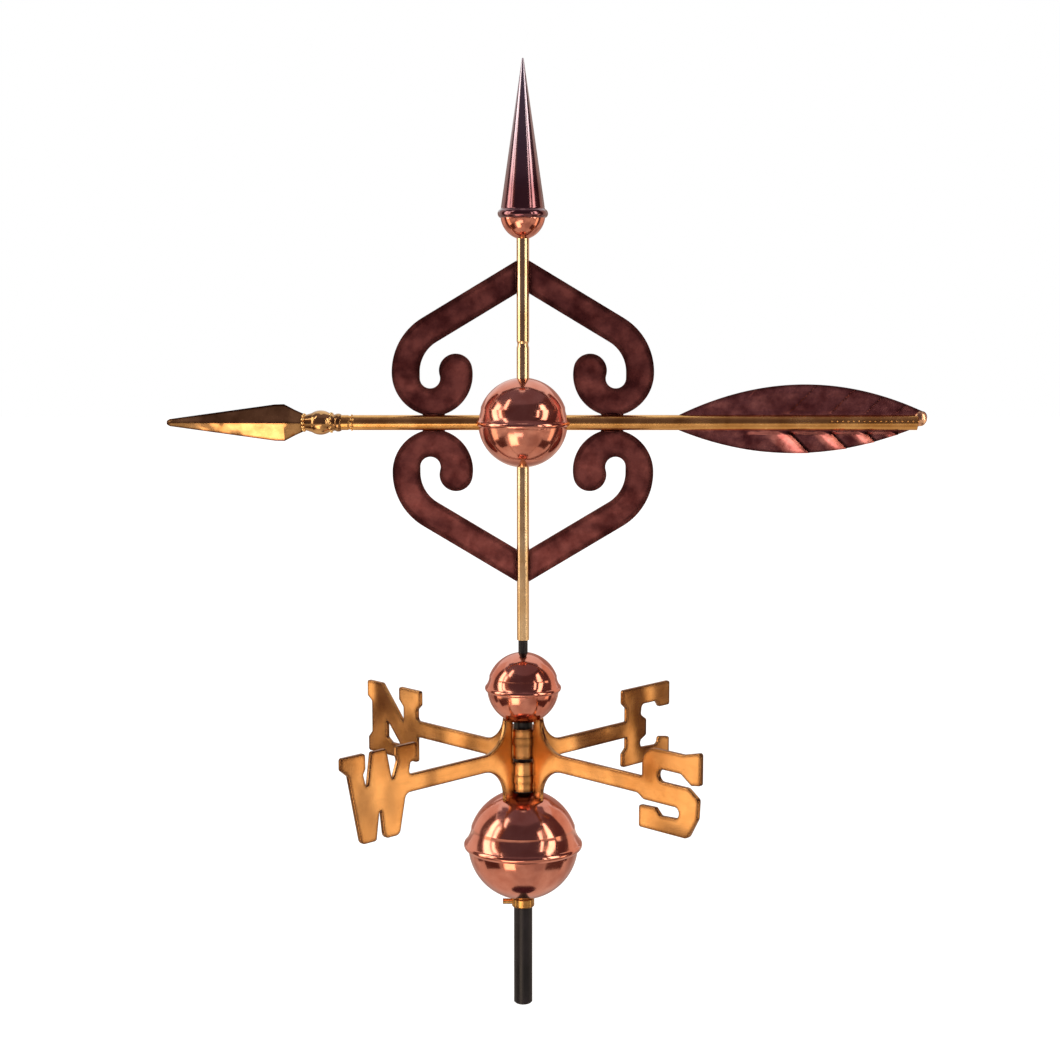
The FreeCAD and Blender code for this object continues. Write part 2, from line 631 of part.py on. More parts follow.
def casting(name, left_letter, right_letter, own_barrel, turn):
    # drawn on the XZ plane with the arms along X, then turned onto its diagonal
    body = new_body(name)
    plate = new_sketch(body, "plate_outline", "XZ_Plane")
    for loop in plate_outline(left_letter, right_letter):
        rounded(plate, loop)
    flat = pad(body, plate, "plate_cast", "plate_thickness")
    doc.recompute()
    hair = size("seat_gap")
    rims = [f"Edge{number}" for number, edge in enumerate(flat.Shape.Edges, start=1)
            if edge.BoundBox.YLength < hair]
    softened = body.newObject("PartDesign::Fillet", "edges_softened")
    softened.Base = (flat, rims)
    softened.setExpression("Radius", bound("edge_round"))

    is_low = own_barrel == LOW_BARREL
    top_of_own = f"{own_barrel} + barrel_length"
    below, above = "-web_fall - 1", "web_rise + 1"
    middle = f"{own_barrel} + barrel_length / 2"
    middle += " - barrel_band_shift" if is_low else " + barrel_band_shift"
    barrel = new_sketch(body, "barrel_profile", "XZ_Plane")
    corners(barrel, [
        ("0", own_barrel),
        ("barrel_radius", own_barrel),
        ("barrel_radius", f"{middle} - barrel_band_height / 2"),
        ("barrel_band_radius", f"{middle} - barrel_band_height / 2"),
        ("barrel_band_radius", f"{middle} + barrel_band_height / 2"),
        ("barrel_radius", f"{middle} + barrel_band_height / 2"),
        ("barrel_radius", top_of_own),
        ("0", top_of_own),
    ])
    revolve(body, barrel, "barrel_cast")

    # the other casting's barrel passes through this web, and past its own end lies open space
    ends = {"barrel_clearance": (top_of_own, above), "barrel_end_clearance": (below, own_barrel)}
    for feature, (start, end) in ends.items():
        room = new_sketch(body, f"{feature}_profile", "XZ_Plane")
        corners(room, [("0", start), ("notch_radius", start), ("notch_radius", end), ("0", end)])
        groove(body, room, feature)

    bore = new_sketch(body, "bore_profile", "XZ_Plane")
    corners(bore, [("0", below), ("mast_dia / 2 + mast_fit", below),
                   ("mast_dia / 2 + mast_fit", above), ("0", above)])
    groove(body, bore, "mast_bore")

    for globe, centre in (("large", "-arm_rise"), ("small", "small_globe_rise")):
        radius = size(f"{globe}_globe_radius + saddle_gap")
        middle_height = size(centre)
        saddle = new_sketch(body, f"{globe}_saddle", "XZ_Plane")
        outline(saddle, (0, middle_height - radius),
                ((radius, middle_height), (0, middle_height + radius)),
                ((0, middle_height - radius),))
        groove(body, saddle, f"{globe}_globe_seat")

    tapping = new_sketch(body, "screw_hole", "XZ_Plane", turn=HUB_SCREW_AZIMUTH - 90 - turn)
    circle(tapping, "screw_dia / 2 + braze_gap", "0", f"{own_barrel} + barrel_length / 2")
    cut_out(body, tapping, "hub_tapped", "notch_radius")
    place(body, z=ARMS, turn=(0, 0, 1, turn))
    return body


def make_castings():
    north_south = casting("north_south_directional", (letter_north, "north"), (letter_south, "south"),
                          HIGH_BARREL, -45)
    west_east = casting("west_east_directional", (letter_west, "west"), (letter_east, "east"),
                        LOW_BARREL, 45)
    return [west_east, north_south]


# ---------------------------------------------------------------- turning tubes
def make_spindle_tube():
    body = new_body("spindle_tube")
    bore = "journal_dia / 2 + running_fit"
    skin = "spindle_dia / 2"
    sketch = new_sketch(body, "tube_profile", "XZ_Plane")
    corners(sketch, [
        (bore, SPINDLE_LOW),
        (skin, SPINDLE_LOW),
        (skin, f"{CRIMP} - crimp_half"),
        (f"{skin} - crimp_depth", f"{CRIMP} - crimp_half / 3"),
        (f"{skin} - crimp_depth", f"{CRIMP} + crimp_half / 3"),
        (skin, f"{CRIMP} + crimp_half"),
        (skin, SPINDLE_TOP),
        (bore, SPINDLE_TOP),
        (bore, f"{CRIMP} + crimp_half"),
        (f"{bore} - crimp_depth", f"{CRIMP} + crimp_half / 3"),
        (f"{bore} - crimp_depth", f"{CRIMP} - crimp_half / 3"),
        (bore, f"{CRIMP} - crimp_half"),
    ])
    revolve(body, sketch, "tube_drawn")
    return body


def make_bearing_plug():
    body = new_body("bearing_plug")
    skin = "journal_dia / 2 + running_fit - braze_gap"
    foot = BALL_CENTRE + " + thrust_ball_dia / 2 + ball_lift"
    sketch = new_sketch(body, "plug_profile", "XZ_Plane")
    corners(sketch, [
        ("0", foot),
        (f"{skin} - journal_chamfer", foot),
        (skin, f"{foot} + journal_chamfer"),
        (skin, f"{CRIMP} - crimp_half - braze_gap"),
        (f"{skin} - crimp_depth", f"{CRIMP} - crimp_half / 3 - braze_gap"),
        (f"{skin} - crimp_depth", f"{CRIMP} + crimp_half / 3 + braze_gap"),
        (skin, f"{CRIMP} + crimp_half + braze_gap"),
        (skin, f"{foot} + plug_length"),
        ("0", f"{foot} + plug_length"),
    ])
    revolve(body, sketch, "plug_turned")
    return body


def make_arrow_tube():
    body = new_body("arrow_tube")
    skin = "arrow_dia / 2"
    bore = "arrow_dia / 2 - arrow_wall"
    crimp = "-shaft_front + spigot_length / 2"
    sketch = new_sketch(body, "shaft_profile", "XZ_Plane")
    corners(sketch, [
        ("-shaft_front", bore),
        ("-shaft_front", skin),
        (f"{crimp} - crimp_half", skin),
        (f"{crimp} - crimp_half / 3", f"{skin} - crimp_depth"),
        (f"{crimp} + crimp_half / 3", f"{skin} - crimp_depth"),
        (f"{crimp} + crimp_half", skin),
        ("shaft_back", skin),
        ("shaft_back", bore),
        (f"{crimp} + crimp_half", bore),
        (f"{crimp} + crimp_half / 3", f"{bore} - crimp_depth"),
        (f"{crimp} - crimp_half / 3", f"{bore} - crimp_depth"),
        (f"{crimp} - crimp_half", bore),
    ])
    revolve(body, sketch, "shaft_drawn", axis="H_Axis")
    cross = new_sketch(body, "spindle_hole", "XY_Plane")
    circle(cross, "spindle_dia / 2 + braze_gap")
    cut_through(body, cross, "cross_drilled")
    slot = new_sketch(body, "feather_slot", "XY_Plane")
    half_slot = "feather_gauge / 2 + braze_gap"
    corners(slot, [
        ("feather_front - braze_gap", f"-({half_slot})"),
        ("shaft_back + 1", f"-({half_slot})"),
        ("shaft_back + 1", half_slot),
        ("feather_front - braze_gap", half_slot),
    ])
    cut_through(body, slot, "sawn_slot")
    place(body, z=ARROW)
    return body


# ---------------------------------------------------------------- arrowhead
def make_arrowhead():
    body = new_body("arrowhead")
    stations = [
        ("head_tip", "tip_half", "tip_half * 0.7"),
        ("head_tip - nose_length", "nose_half", "nose_half * 0.7"),
        ("shoulder_front", "blade_half * 0.985", "blade_thick * 0.97"),
        ("shoulder_back", "blade_half", "blade_thick"),
        ("(shoulder_back + waist_place) / 2", "(blade_half + waist_radius * 0.9) / 2", "blade_thick"),
        ("waist_place", "waist_radius", "waist_radius * 0.9"),
    ]
    sections = []
    for number, (station, half, thick) in enumerate(stations):
        section = new_sketch(body, f"blade_section_{number}", "YZ_Plane", offset=f"-({station})")
        corners(section, [("0", half), (thick, "0"), ("0", f"-({half})"), (f"-({thick})", "0")])
        sections.append(section)
    blade = body.newObject("PartDesign::AdditiveLoft", "blade")
    blade.Profile = (sections[0], [""])
    blade.Sections = [(section, [""]) for section in sections[1:]]
    blade.Ruled = True

    waist, knop = size("waist_place"), size("knop_place")
    radius, swell = size("waist_radius"), size("knop_radius")
    ring = size("ring_radius")
    end, ring_start = size("shaft_front + braze_gap"), size("shaft_front + braze_gap + ring_length")
    spigot = size("arrow_dia / 2 - arrow_wall - braze_gap")
    flank = (waist - knop) * 0.55
    hollow = (radius + swell) / 2 - 0.35
    tip = size("shaft_front - spigot_length")
    crimp = size("shaft_front - spigot_length / 2")
    crimp_half, depth = size("crimp_half"), size("crimp_depth")
    neck = radius * 0.94
    turned = new_sketch(body, "ferrule_profile", "XZ_Plane")
    outline(turned, (-waist - 5, 0),
            ((-waist - 5, neck * 0.72),),
            ((-waist, neck),),
            ((-(waist + knop + flank) / 2, hollow - 0.9), (-knop - flank, hollow)),
            ((-knop, swell), (-knop + flank, hollow)),
            ((-(ring_start + knop - flank) / 2, radius + 0.35), (-ring_start, radius)),
            ((-(ring_start + end) / 2, ring), (-end, radius)),
            ((-end, spigot),),
            ((-crimp - crimp_half, spigot),),
            ((-crimp - crimp_half / 3, spigot - depth),),
            ((-crimp + crimp_half / 3, spigot - depth),),
            ((-crimp + crimp_half, spigot),),
            ((-tip, spigot),),
            ((-tip, 0),),
            ((-waist - 5, 0),))
    revolve(body, turned, "ferrule_turned", axis="H_Axis")
    place(body, z=ARROW)
    return body


# ---------------------------------------------------------------- feather
def pleat(x, z):
    # sideways height of the pleated sheet: flat along the shaft, rising away from it
    away = abs(z) - size("arrow_dia / 2 + pleat_margin")
    if away <= 0:
        return 0.0
    depth = size("pleat_depth_top") if z > 0 else size("pleat_depth_low")
    ramp = min(1.0, away / 6.0)
    root = x - away * math.tan(math.radians(size("pleat_lean")))
    run = root - size("pleat_place")
    rise = min(1.0, max(0.0, 1 + run / size("pleat_lead")))
    turn = 2 * math.pi * run * (1 + run * size("pleat_closing")) / size("pleat_pitch")
    skewed = turn + 0.45 * math.sin(turn)
    return depth * ramp * ramp * (3 - 2 * ramp) * rise * math.sin(skewed)


def make_tail_feather():
    front, back = size("feather_front"), size("feather_back")
    top, low = size("feather_rise"), -size("feather_fall")
    gauge = size("feather_gauge")
    columns, rows = 56, 17
    grid = []
    for i in range(columns):
        x = front - 3 + (back + 6 - front) * i / (columns - 1)
        row = []
        for j in range(rows):
            z = low - 3 + (top + 6 - low) * j / (rows - 1)
            row.append(Vector(x, pleat(x, z) - gauge / 2, z))
        grid.append(row)
    surface = Part.BSplineSurface()
    surface.interpolate(grid)
    sheet_metal = surface.toShape().extrude(Vector(0, gauge, 0))
    radius = size("arrow_dia / 2")
    tail_top, tail_low = size("feather_tail_top"), -size("feather_tail_low")
    middle = (front + back) / 2
    edges = [
        Part.Arc(Vector(front, 0, radius), Vector(middle, 0, top), Vector(back - 4, 0, tail_top)).toShape(),
        Part.Arc(Vector(back - 4, 0, tail_top), Vector(back, 0, (tail_top + tail_low) / 2),
                 Vector(back - 3, 0, tail_low)).toShape(),
        Part.Arc(Vector(back - 3, 0, tail_low), Vector(middle, 0, low), Vector(front, 0, -radius)).toShape(),
        Part.LineSegment(Vector(front, 0, -radius), Vector(front, 0, radius)).toShape(),
    ]
    depth = 4 * size("pleat_depth_low") + 2 * gauge
    leaf = Part.Face(Part.Wire(edges)).extrude(Vector(0, depth, 0))
    leaf.translate(Vector(0, -depth / 2, 0))
    feather = doc.addObject("Part::Feature", "tail_feather")
    feather.Label = "tail_feather"
    feather.Shape = sheet_metal.common(leaf)
    place(feather, z=ARROW)
    return feather


# ---------------------------------------------------------------- scrolls
def scroll_outline(sketch):
    # a straight limb falls from the spindle tube, rounds a belly and ends in a curl on the shaft
    slope = math.radians(size("scroll_slope"))
    seat = size("arrow_dia / 2 + braze_gap")
    side = size("spindle_dia / 2 + braze_gap")
    width = size("limb_width")
    reach, belly = size("scroll_reach"), size("belly_height")
    out = (math.sin(slope), math.cos(slope))
    apex = (side, size("scroll_apex"))
    # belly: the circle that touches the limb's outer edge and the widest place
    offset = out[0] * (apex[0] - reach) + out[1] * (apex[1] - belly)
    radius = offset / (1 - out[0])
    centre = (reach - radius, belly)
    inner = radius - width

    def on(centre, r, angle):
        return (centre[0] + r * math.cos(angle), centre[1] + r * math.sin(angle))

    limb = math.pi / 2 - slope
    outer_touch = on(centre, radius, limb)
    inner_touch = on(centre, inner, limb)
    drop = (outer_touch[0] - side) * math.tan(slope)
    outer_apex = (side, outer_touch[1] + drop)
    inner_apex = (side, inner_touch[1] + (inner_touch[0] - side) * math.tan(slope))

    heel = size("heel_radius")
    heel_centre = (reach - heel, belly - 0.5)
    heel_foot = math.asin((seat - heel_centre[1]) / heel)

    slot = size("curl_gap")
    slot_centre = (centre[0] + inner - slot, size("curl_slot_height"))
    end_centre = (size("curl_end_place"), size("curl_end_height"))
    across = (slot_centre[0] - end_centre[0], slot_centre[1] - end_centre[1])
    span = math.hypot(*across)
    end_radius = span - slot
    toward = math.atan2(across[1], across[0])
    kiss = on(end_centre, end_radius, toward)
    # the curl's outer side: a circle that holds the round end inside it and meets the shaft
    throat = heel - 1.4
    throat_reach = throat - end_radius
    throat_centre = (end_centre[0] + throat_reach * 0.985, end_centre[1] - throat_reach * 0.172)
    meet = math.atan2(end_centre[1] - throat_centre[1], end_centre[0] - throat_centre[0])
    throat_foot = -math.pi - math.asin((seat - throat_centre[1]) / throat)
    touch = on(throat_centre, throat, meet)

    outline(sketch, outer_apex,
            (outer_touch,),
            (on(centre, radius, limb / 2), (reach, belly)),
            ((reach, heel_centre[1]),),
            (on(heel_centre, heel, heel_foot / 2), on(heel_centre, heel, heel_foot)),
            (on(throat_centre, throat, throat_foot),),
            (on(throat_centre, throat, (throat_foot + meet - 2 * math.pi) / 2), touch),
            (on(end_centre, end_radius, (meet + toward) / 2), kiss),
            (on(slot_centre, slot, -math.pi / 2), (slot_centre[0] + slot, slot_centre[1])),
            ((centre[0] + inner, belly),),
            (on(centre, inner, limb / 2), inner_touch),
            (inner_apex,),
            (outer_apex,))


def make_scrolls():
    # one plate, placed four times by half turns about the arrow, the spindle and both
    places = {
        "scroll_upper_right": (0, 0, 1, 0),
        "scroll_upper_left": (0, 0, 1, 180),
        "scroll_lower_right": (1, 0, 0, 180),
        "scroll_lower_left": (0, 1, 0, 180),
    }
    bodies = []
    for name, turn in places.items():
        body = new_body(name)
        sketch = new_sketch(body, "scroll_outline", "XZ_Plane")
        scroll_outline(sketch)
        pad(body, sketch, "scroll_plate", "scroll_gauge")
        place(body, z=ARROW, turn=turn)
        bodies.append(body)
    return bodies


# ---------------------------------------------------------------- spire
def make_spire():
    gauge = size("sheet_gauge")
    foot, rim = size("spire_base_radius"), size("spire_rim_radius")
    half = size("spire_rim_half")
    tip = size("spire_length")
    point = size("spire_tip_radius")
    cup = size("cup_radius")
    skirt = cup + size("skirt_fit")
    roll = skirt + gauge / 2
    cone = new_body("spire_cone")
    sketch = new_sketch(cone, "cone_profile", "XZ_Plane")
    start = half + 2.2
    lean = math.atan((foot - point) / (tip - point - start))
    inner_foot = foot - gauge / math.cos(lean)
    inner_tip = start + inner_foot / math.tan(lean)
    outline(sketch, (0, tip),
            ((point * 0.72, tip - point * 0.3), (point, tip - point)),
            ((foot, start),),
            ((foot + 0.3, half + 0.7), (roll, half)),
            ((rim, 0), (roll, -half)),
            ((skirt, -half),),
            ((skirt, half / 2),),
            ((inner_foot, half / 2),),
            ((inner_foot, start),),
            ((0, inner_tip),),
            ((0, tip),))
    revolve(cone, sketch, "cone_spun")
    place(cone, z=SPIRE_RIM)

    bowl = new_body("spire_cup")
    sketch = new_sketch(bowl, "cup_profile", "XZ_Plane")
    hole = size("spindle_dia / 2 + hole_fit")
    inner = cup - gauge
    deep = size("cup_depth")
    flank = math.sqrt(0.5)

    def at_hole(radius, depth):
        return (hole, -depth * math.sqrt(1 - (hole / radius) ** 2))

    lip = half / 2 - size("seat_gap")
    outline(sketch, (cup, lip),
            ((cup, 0),),
            ((cup * flank, -deep * flank), at_hole(cup, deep)),
            (at_hole(inner, deep - gauge),),
            ((inner * flank, -(deep - gauge) * flank), (inner, 0)),
            ((inner, lip),),
            ((cup, lip),))
    revolve(bowl, sketch, "cup_spun")
    place(bowl, z=SPIRE_RIM)

    bush = new_body("spire_bush")
    sketch = new_sketch(bush, "bush_profile", "XZ_Plane")
    bore = "spindle_dia / 2 + braze_gap"
    flange = "cup_radius - sheet_gauge - braze_gap"
    corners(sketch, [
        (bore, "-spire_bush_length"),
        ("spire_bush_boss", "-spire_bush_length"),
        ("spire_bush_boss", "-spire_bush_length / 3"),
        (flange, "-spire_bush_length / 3"),
        (flange, "0"),
        (bore, "0"),
    ])
    revolve(bush, sketch, "bush_turned")
    place(bush, z=f"{SPIRE_RIM} + spire_rim_half / 2 - seat_gap")
    return [bowl, cone, bush]


# ---------------------------------------------------------------- build, test and write
pieces = [make_mast_rod(), make_thrust_ball(), make_stop_collar()]
pieces += make_screws()
pieces += make_globes()
pieces += make_castings()
pieces += [make_spindle_tube(), make_bearing_plug(), make_arrow_tube(), make_arrowhead()]
pieces += [make_tail_feather()]
pieces += make_scrolls()
pieces += make_spire()
doc.recompute()

for item in doc.Objects:
    if "Invalid" in item.State or "Error" in item.State:
        raise RuntimeError(f"{item.Label} did not build")
for piece in pieces:
    if piece.Shape.isNull() or not piece.Shape.isValid() or not piece.Shape.Solids:
        raise RuntimeError(f"{piece.Label} has no valid solid")

os.makedirs("parts", exist_ok=True)
for piece in pieces:
    piece.Shape.exportStep(f"parts/{piece.Label}.step")
    print(f"{piece.Label}: {len(piece.Shape.Solids)} solid, {piece.Shape.Volume:.0f} mm3")
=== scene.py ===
import json
import math

import bpy
from mathutils import Matrix, Vector


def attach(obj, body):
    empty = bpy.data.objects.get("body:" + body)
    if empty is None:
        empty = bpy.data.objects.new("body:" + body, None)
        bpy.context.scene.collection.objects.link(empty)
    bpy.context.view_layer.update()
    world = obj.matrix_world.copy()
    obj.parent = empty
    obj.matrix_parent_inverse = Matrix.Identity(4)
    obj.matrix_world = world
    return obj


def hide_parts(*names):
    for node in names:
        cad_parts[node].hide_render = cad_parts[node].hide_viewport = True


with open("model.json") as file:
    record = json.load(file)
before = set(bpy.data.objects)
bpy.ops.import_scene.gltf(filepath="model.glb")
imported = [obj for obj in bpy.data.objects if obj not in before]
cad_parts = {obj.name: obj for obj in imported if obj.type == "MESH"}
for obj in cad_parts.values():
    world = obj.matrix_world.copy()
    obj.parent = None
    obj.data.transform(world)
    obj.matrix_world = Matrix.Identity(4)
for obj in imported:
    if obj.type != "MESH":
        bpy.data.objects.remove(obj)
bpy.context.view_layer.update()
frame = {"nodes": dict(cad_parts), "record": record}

mm = 0.001
print("stage: frame loaded")


# camera: a long lens, a little above the arrow and tilted down
cameraSetup = {
    "lens": 67.58,          # mm, on a 36 mm sensor
    "sensor": 36,
    "place": (5.9, -1656.5, 640.5),
    "tilt": 7.8,            # degrees below the horizon
    "nearest": 50.0,
    "farthest": 50000.0,
}


def makeCamera(setup):
    data = bpy.data.cameras.new("viewCamera")
    data.lens = setup["lens"]
    data.sensor_width = setup["sensor"]
    data.clip_start = setup["nearest"] * mm
    data.clip_end = setup["farthest"] * mm
    camera = bpy.data.objects.new("viewCamera", data)
    bpy.context.scene.collection.objects.link(camera)
    tilt = Matrix.Rotation(math.radians(90 - setup["tilt"]), 4, "X")
    camera.matrix_world = Matrix.Translation(Vector(setup["place"]) * mm) @ tilt
    bpy.context.scene.camera = camera


makeCamera(cameraSetup)
bpy.context.scene.view_settings.view_transform = "Standard"


# colour, node and mesh helpers
def linear(hexColour):
    # sRGB hex to the linear values that shaders work in
    parts = [int(hexColour[i:i + 2], 16) / 255 for i in (1, 3, 5)]
    return [c / 12.92 if c <= 0.04045 else ((c + 0.055) / 1.055) ** 2.4 for c in parts] + [1]


def addNode(tree, kind, inputs=None, stops=None, **settings):
    # one node with its settings; an input, by name or place, takes a value or a link
    node = tree.nodes.new(kind)
    for name, value in settings.items():
        setattr(node, name, value)
    for key, value in (inputs or {}).items():
        value = getattr(value, "socket", value)
        if isinstance(value, bpy.types.NodeSocket):
            tree.links.new(value, node.inputs[key])
        else:
            node.inputs[key].default_value = value
    for i, (place, colour) in enumerate(stops or []):
        band = node.color_ramp.elements
        stop = band[i] if i < len(band) else band.new(place)
        stop.position = place
        stop.color = linear(colour)
    return node


def emptyTree(holder):
    # the cleared node tree of a new world or material
    holder.use_nodes = True
    holder.node_tree.nodes.clear()
    return holder.node_tree


def placeMesh(name, points, faces, material):
    # an object at the origin, with its place in its mesh
    mesh = bpy.data.meshes.new(name)
    mesh.from_pydata(points, [], faces)
    mesh.materials.append(material)
    thing = bpy.data.objects.new(name, mesh)
    bpy.context.scene.collection.objects.link(thing)
    return thing


def onlyMirrored(thing):
    # part of the room that only the metal sees: it is hidden from the camera and casts no light or shadow
    thing.visible_camera = False
    thing.visible_diffuse = False
    thing.visible_shadow = False


# stage: white surroundings behind, a dark room in front and above, tall windows beside it
stageSetup = {
    "fill": 0.55,           # light that matt surfaces get from all round
    "floorReach": 12000.0,
    "floorHeight": -450.0,
    "floorGlow": 0.8,       # how bright the metal sees the floor
    "floorTint": "#FFF0E0",
    "floorDeep": "#C4B0A6",
    "floorPatch": 900.0,    # size of the floor's light and dark patches
    "shadowReach": 650.0,   # the floor keeps the shadow this far out
    "discRadius": 150.0,   # a dark round disc under the mast, seen only in the metal
    "discHeight": -430.0,
    "discSides": 48,
    "discColour": "#4A2E38",
    "domeRadius": 2600.0,
    "domeHeight": 430.0,    # centre of the curved cards
    "cardLift": 10.0,       # how far low cards lie above the floor
    "brightShrink": 0.97,   # bright cards stand this much nearer
    "cardStep": (3, 4),     # degrees between a card's points, across and up
}
# azimuths from the camera's side, positive to its right, then elevations, colour and strength
roomCards = {
    "darkRoom": (-50, 78, -10, 52, "#5C4E58", 1.0),
    "darkCeiling": (-128, 128, 50, 84, "#7C6E7A", 1.0),
    "leftShade": (-112, -50, 40, 52, "#7A6C78", 1.0),
    "leftWindow": (-91, -75, -9, 40, "#FFF4E6", 4.2),
    "leftPane": (-69, -61, -5, 34, "#FFF4E6", 4.0),
    "leftHighPane": (-62, -52, 37, 56, "#FFF6EA", 3.6),
    "leftJamb": (-60, -50, -10, 38, "#A07868", 1.0),
    "leftEdge": (-112, -94, -36, 38, "#6A5250", 1.0),
    "leftWall": (-140, -110, -14, 40, "#F0DCD0", 1.0),
    "leftApron": (-92, -74, -28, -11, "#FFE8C8", 2.0),
    "rightPane": (40, 46, -8, 30, "#FFF4E8", 4.0),
    "rightWindow": (56, 70, -8, 42, "#FFF4E8", 4.4),
    "rightJamb": (78, 94, -4, 52, "#64484A", 1.0),
    "rightEdge": (92, 108, -36, 52, "#5C4244", 1.0),
    "rightApron": (77, 90, -30, -7, "#FFE8C8", 1.9),
    "rightWall": (106, 138, -14, 38, "#F0D4C0", 1.0),
    "backLeftShade": (-180, -142, -14, 14, "#B89A8E", 1.0),
    "backRightShade": (142, 180, -14, 26, "#B89A8E", 1.0),
    "floorPane": (-42, -15, -50, -24, "#FFE4C8", 4.0),
    "floorBand": (-24, 2, -30, -20, "#FFE8DC", 3.0),
    # two darker patches low on the floor, seen only in the metal
    "leftDarkPatch": (-90, -54, -48, -26, "#5E423E", 1.0),
    "rightDarkPatch": (54, 96, -50, -32, "#5E423E", 1.0),
}
# azimuth, height and distance in mm, sizes across and up, and watts
roomLamps = {
    "leftLamp": (-38, 1900, 2300, (500, 1800), 45),
    "rightLamp": (54, 1900, 2300, (600, 1800), 60),
}
lampAim = Vector((0, 0, 420)) * mm


def makeWorld(setup):
    world = bpy.data.worlds.new("whiteSurround")
    tree = emptyTree(world)
    bpy.context.scene.world = world
    path = addNode(tree, "ShaderNodeLightPath").outputs
    seen = addNode(tree, "ShaderNodeMath", {0: path["Is Camera Ray"], 1: path["Is Glossy Ray"]},
                   operation="MAXIMUM")
    seen = addNode(tree, "ShaderNodeMath", {0: seen.outputs[0], 1: path["Is Transmission Ray"]},
                   operation="MAXIMUM")
    plain = addNode(tree, "ShaderNodeBackground", {"Color": linear("#FFFFFF"), "Strength": setup["fill"]})
    white = addNode(tree, "ShaderNodeBackground", {"Color": linear("#FFFFFF"), "Strength": 1.0})
    mix = addNode(tree, "ShaderNodeMixShader", {0: seen.outputs[0], 1: plain.outputs[0], 2: white.outputs[0]})
    addNode(tree, "ShaderNodeOutputWorld", {"Surface": mix.outputs[0]})


def glowMaterial(name, colour, strength):
    material = bpy.data.materials.new(name)
    tree = emptyTree(material)
    glow = addNode(tree, "ShaderNodeEmission", {"Color": linear(colour), "Strength": strength})
    addNode(tree, "ShaderNodeOutputMaterial", {"Surface": glow.outputs[0]})
    return material


def makeFloor(setup):
    material = bpy.data.materials.new("matteFloor")
    tree = emptyTree(material)
    path = addNode(tree, "ShaderNodeLightPath").outputs
    place = addNode(tree, "ShaderNodeTexCoord").outputs["Object"]

    # matt to the lamps, patchy to the metal
    matte = addNode(tree, "ShaderNodeBsdfDiffuse", {"Color": linear("#DCD8D4")})
    patch = addNode(tree, "ShaderNodeTexNoise", {"Scale": 1 / (setup["floorPatch"] * mm), "Detail": 2.0,
                                                 "Vector": place})
    tint = addNode(tree, "ShaderNodeValToRGB", {"Fac": patch.outputs[0]},
                   stops=[(0.34, setup["floorDeep"]), (0.62, setup["floorTint"])])
    dull = addNode(tree, "ShaderNodeEmission", {"Color": tint.outputs[0], "Strength": setup["floorGlow"]})
    mirrored = addNode(tree, "ShaderNodeMixShader",
                       {0: path["Is Glossy Ray"], 1: matte.outputs[0], 2: dull.outputs[0]})

    # white to the camera, with the shadow kept under the object
    far = addNode(tree, "ShaderNodeVectorMath", {0: place}, operation="LENGTH")
    glow = addNode(tree, "ShaderNodeMapRange", {
        "Value": far.outputs["Value"], "From Min": setup["shadowReach"] * mm,
        "From Max": 2 * setup["shadowReach"] * mm, "To Min": 0.5, "To Max": 1.0})
    lit = addNode(tree, "ShaderNodeEmission", {"Color": linear("#FFFFFF"), "Strength": glow.outputs[0]})
    faint = addNode(tree, "ShaderNodeBsdfDiffuse", {"Color": linear("#8C8A88")})
    white = addNode(tree, "ShaderNodeAddShader", {0: lit.outputs[0], 1: faint.outputs[0]})
    seen = addNode(tree, "ShaderNodeMixShader",
                   {0: path["Is Camera Ray"], 1: mirrored.outputs[0], 2: white.outputs[0]})
    addNode(tree, "ShaderNodeOutputMaterial", {"Surface": seen.outputs[0]})

    reach, height = setup["floorReach"] * mm, setup["floorHeight"] * mm
    corners = [(-reach, -reach, height), (reach, -reach, height),
               (reach, reach, height), (-reach, reach, height)]
    floor = placeMesh("floor", corners, [(0, 1, 2, 3)], material)


def makeDarkDisc(setup):
    # a dark disc under the mast, below the camera's view: the globes mirror it as a dark oval
    radius, height, sides = setup["discRadius"] * mm, setup["discHeight"] * mm, setup["discSides"]
    turns = [2 * math.pi * i / sides for i in range(sides)]
    points = [(radius * math.cos(turn), radius * math.sin(turn), height) for turn in turns]
    glow = glowMaterial("darkDisc", setup["discColour"], 1.0)
    darkDisc = placeMesh("darkDisc", points, [tuple(range(sides))], glow)
    onlyMirrored(darkDisc)


def makeCard(name, card, setup):
    # part of a sphere round the object; where it would meet the floor it lies on it, a bright one on top
    west, east, low, high, colour, strength = card
    radius, centre = setup["domeRadius"] * mm, setup["domeHeight"] * mm
    floorTop = (setup["floorHeight"] + setup["cardLift"]) * mm
    if strength > 1:
        radius *= setup["brightShrink"]
        floorTop += setup["cardLift"] * mm
    stepAcross, stepUp = setup["cardStep"]
    across, up = max(2, int((east - west) / stepAcross)), max(2, int((high - low) / stepUp))
    points, faces = [], []
    for i in range(across + 1):
        azimuth = math.radians(west + (east - west) * i / across)
        for j in range(up + 1):
            climb = math.radians(low + (high - low) * j / up)
            reach = min(radius, (centre - floorTop) / max(0.01, math.sin(-climb)))
            points.append((reach * math.cos(climb) * math.sin(azimuth),
                           -reach * math.cos(climb) * math.cos(azimuth),
                           centre + reach * math.sin(climb)))
            if i < across and j < up:
                here = i * (up + 1) + j
                faces.append((here, here + 1, here + up + 2, here + up + 1))
    thing = placeMesh(name, points, faces, glowMaterial(name, colour, strength))
    onlyMirrored(thing)


